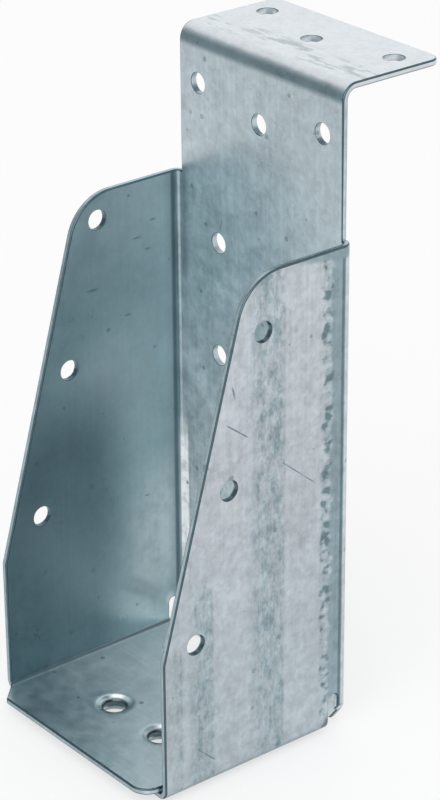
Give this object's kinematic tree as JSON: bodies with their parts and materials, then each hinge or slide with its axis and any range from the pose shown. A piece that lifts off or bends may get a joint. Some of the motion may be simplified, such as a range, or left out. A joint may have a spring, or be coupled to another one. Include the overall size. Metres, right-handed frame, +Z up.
{
  "type": "top-flange joist hanger",
  "caption": "Top-flange joist hanger folded from galvanised sheet: back plate, leaning-edged cheeks and a two-leaf seat that carries a timber joist.",
  "frame": {"origin": "middle of the plate's back face, level with the joist's bearing", "axes": "+X across the joist to the right cheek, +Y back into the header, +Z up; the joist runs along -Y"},
  "size_m": [0.08, 0.1116, 0.2052],
  "materials": {
    "galvanised_steel": "galvanised, dull spangle"
  },
  "bodies": {
    "root": {"hanger": "galvanised_steel"}
  },
  "joints": []
}
